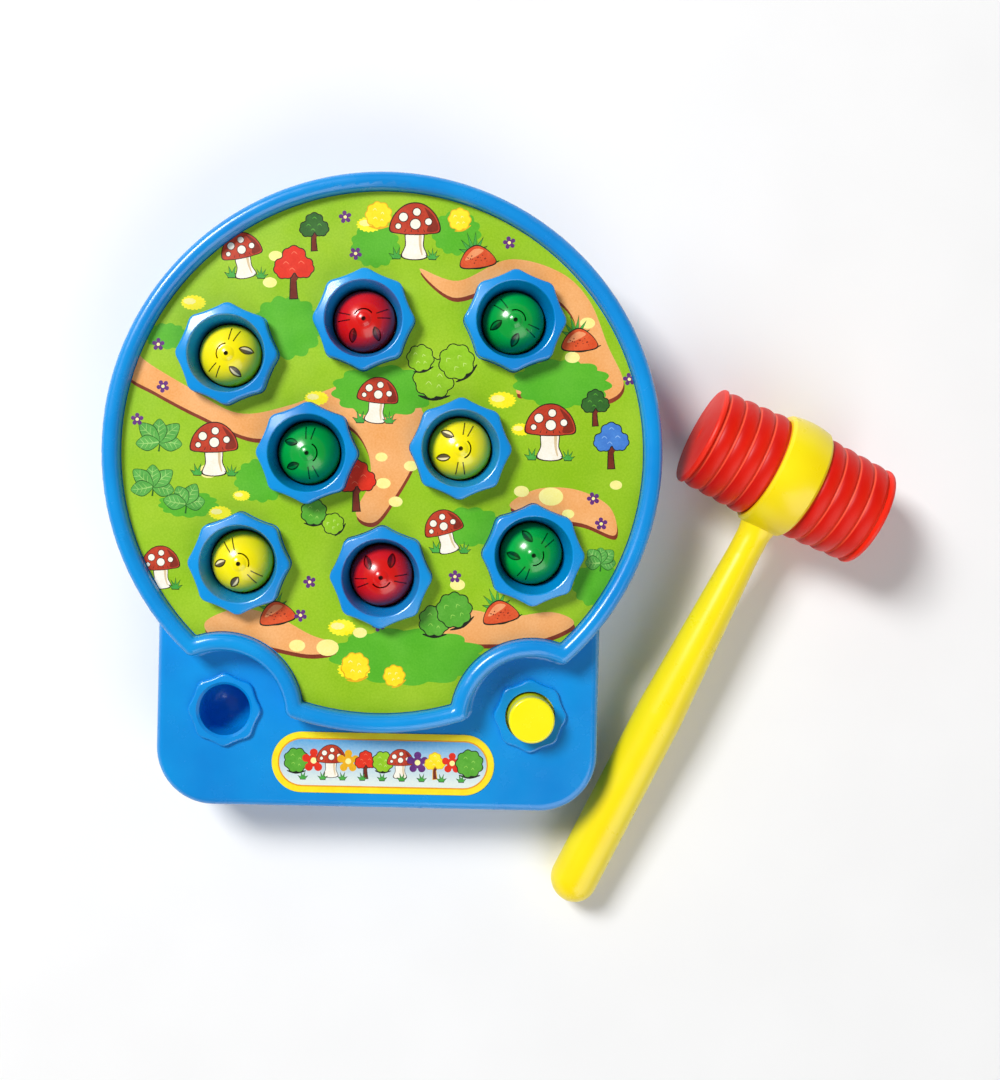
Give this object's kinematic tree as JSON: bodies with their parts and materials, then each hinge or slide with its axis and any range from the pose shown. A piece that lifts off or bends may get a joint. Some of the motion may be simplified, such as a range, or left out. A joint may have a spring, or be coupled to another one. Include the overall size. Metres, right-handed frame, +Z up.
{
  "type": "whack-a-mole toy",
  "caption": "Battery toy with heads that pop up through scalloped collars in a round platform, a push button, and a squeaky hammer with pleated ends.",
  "frame": {"origin": "on the table under the centre of the round platform", "axes": "+Z up, +Y away from the base panel with the button, +X to the button's side"},
  "size_m": [0.2875, 0.2694, 0.0442],
  "materials": {
    "case_blue": "high gloss moulded",
    "print_card": "gloss film over print",
    "sticker": "gloss film over print",
    "mole_yellow": "gloss moulded",
    "mole_red": "gloss moulded",
    "mole_green": "gloss moulded",
    "button_yellow": "gloss moulded",
    "handle_yellow": "gloss blow moulded",
    "bellows_red": "soft satin moulded",
    "gear_white": "satin moulded",
    "black_plastic": "satin moulded",
    "steel": "bright drawn",
    "spring_steel": "plated",
    "cell_wrap": "gloss shrink film",
    "lead_sleeve": "gloss extruded"
  },
  "bodies": {
    "case": {"top_shell": "case_blue", "bottom_shell": "case_blue", "play_face_card": "print_card", "nameplate": "sticker", "disc_axle": "steel", "first_gear_pin": "steel", "gear_plate": "black_plastic", "plate_screws": "steel", "motor_can": "steel", "motor_cap": "black_plastic", "motor_terminals": "spring_steel", "cell_1": "cell_wrap", "cell_2": "cell_wrap", "contact_bridge": "spring_steel", "contact_plus": "spring_steel", "contact_minus": "spring_steel", "battery_door": "case_blue", "battery_door_screw": "steel", "switch_body": "black_plastic", "button_spring": "spring_steel", "case_screws": "steel", "lead_plus": "lead_sleeve", "lead_minus": "lead_sleeve", "lead_link": "lead_sleeve"},
    "lifter": {"lifter_disc": "gear_white", "lift_tongues": "gear_white"},
    "first_gear": {"first_gear": "gear_white"},
    "second_gear": {"second_wheel": "gear_white", "second_shaft": "steel", "final_pinion": "gear_white"},
    "motor_rotor": {"motor_shaft": "steel", "motor_pinion": "gear_white"},
    "button": {"button_cap": "button_yellow", "switch_plunger": "black_plastic"},
    "hammer": {"hammer_handle": "handle_yellow", "bellows_left": "bellows_red", "bellows_right": "bellows_red", "whistle_left": "black_plastic", "whistle_right": "black_plastic"},
    "strike_left": {"face_left": "bellows_red"},
    "strike_right": {"face_right": "bellows_red"},
    "mole_yellow_1": {"mole_yellow_1": "mole_yellow"},
    "mole_red_1": {"mole_red_1": "mole_red"},
    "mole_green_1": {"mole_green_1": "mole_green"},
    "mole_green_2": {"mole_green_2": "mole_green"},
    "mole_yellow_2": {"mole_yellow_2": "mole_yellow"},
    "mole_yellow_3": {"mole_yellow_3": "mole_yellow"},
    "mole_red_2": {"mole_red_2": "mole_red"},
    "mole_green_3": {"mole_green_3": "mole_green"}
  },
  "joints": [
    {"name": "disc_turn", "type": "hinge", "parent": "case", "child": "lifter", "pos_m": [0, 0, 0.0147], "axis": [0, 0, 1], "continuous": true, "deforming": ["lift_tongues"]},
    {"name": "second_gear_turn", "type": "hinge", "parent": "case", "child": "second_gear", "pos_m": [0.01663, -0.07825, 0], "axis": [0, 0, 1], "continuous": true},
    {"name": "first_gear_turn", "type": "hinge", "parent": "case", "child": "first_gear", "pos_m": [0.00463, -0.07825, 0], "axis": [0, 0, 1], "continuous": true},
    {"name": "motor_turn", "type": "hinge", "parent": "case", "child": "motor_rotor", "pos_m": [-0.00718, -0.08034, 0], "axis": [0, 0, 1], "continuous": true},
    {"name": "button_press", "type": "slide", "parent": "case", "child": "button", "axis": [0, 0, -1], "range_m": [0, 0.0035], "stiffness_N_per_m": 150, "deforming": ["button_spring"]},
    {"name": "hammer_lift", "type": "slide", "parent": "case", "child": "hammer", "axis": [0, 0, 1], "range_m": [0, 0.15]},
    {"name": "strike_left_squeeze", "type": "slide", "parent": "hammer", "child": "strike_left", "axis": [0.9048, -0.4258, 0], "range_m": [0, 0.008], "stiffness_N_per_m": 400, "deforming": ["bellows_left"]},
    {"name": "strike_right_squeeze", "type": "slide", "parent": "hammer", "child": "strike_right", "axis": [-0.9048, 0.4258, 0], "range_m": [0, 0.008], "stiffness_N_per_m": 400, "deforming": ["bellows_right"]},
    {"name": "mole_yellow_1_rise", "type": "slide", "parent": "case", "child": "mole_yellow_1", "axis": [0, 0, 1], "range_m": [0, 0.009]},
    {"name": "mole_red_1_rise", "type": "slide", "parent": "case", "child": "mole_red_1", "axis": [0, 0, 1], "range_m": [0, 0.009]},
    {"name": "mole_green_1_rise", "type": "slide", "parent": "case", "child": "mole_green_1", "axis": [0, 0, 1], "range_m": [0, 0.009]},
    {"name": "mole_green_2_rise", "type": "slide", "parent": "case", "child": "mole_green_2", "axis": [0, 0, 1], "range_m": [0, 0.009]},
    {"name": "mole_yellow_2_rise", "type": "slide", "parent": "case", "child": "mole_yellow_2", "axis": [0, 0, 1], "range_m": [0, 0.009]},
    {"name": "mole_yellow_3_rise", "type": "slide", "parent": "case", "child": "mole_yellow_3", "axis": [0, 0, 1], "range_m": [0, 0.009]},
    {"name": "mole_red_2_rise", "type": "slide", "parent": "case", "child": "mole_red_2", "axis": [0, 0, 1], "range_m": [0, 0.009]},
    {"name": "mole_green_3_rise", "type": "slide", "parent": "case", "child": "mole_green_3", "axis": [0, 0, 1], "range_m": [0, 0.009]}
  ],
  "couplings": [
    {"joint": "second_gear_turn", "follows": "disc_turn", "ratio": -11.8},
    {"joint": "first_gear_turn", "follows": "disc_turn", "ratio": 59},
    {"joint": "motor_turn", "follows": "disc_turn", "ratio": -295}
  ]
}
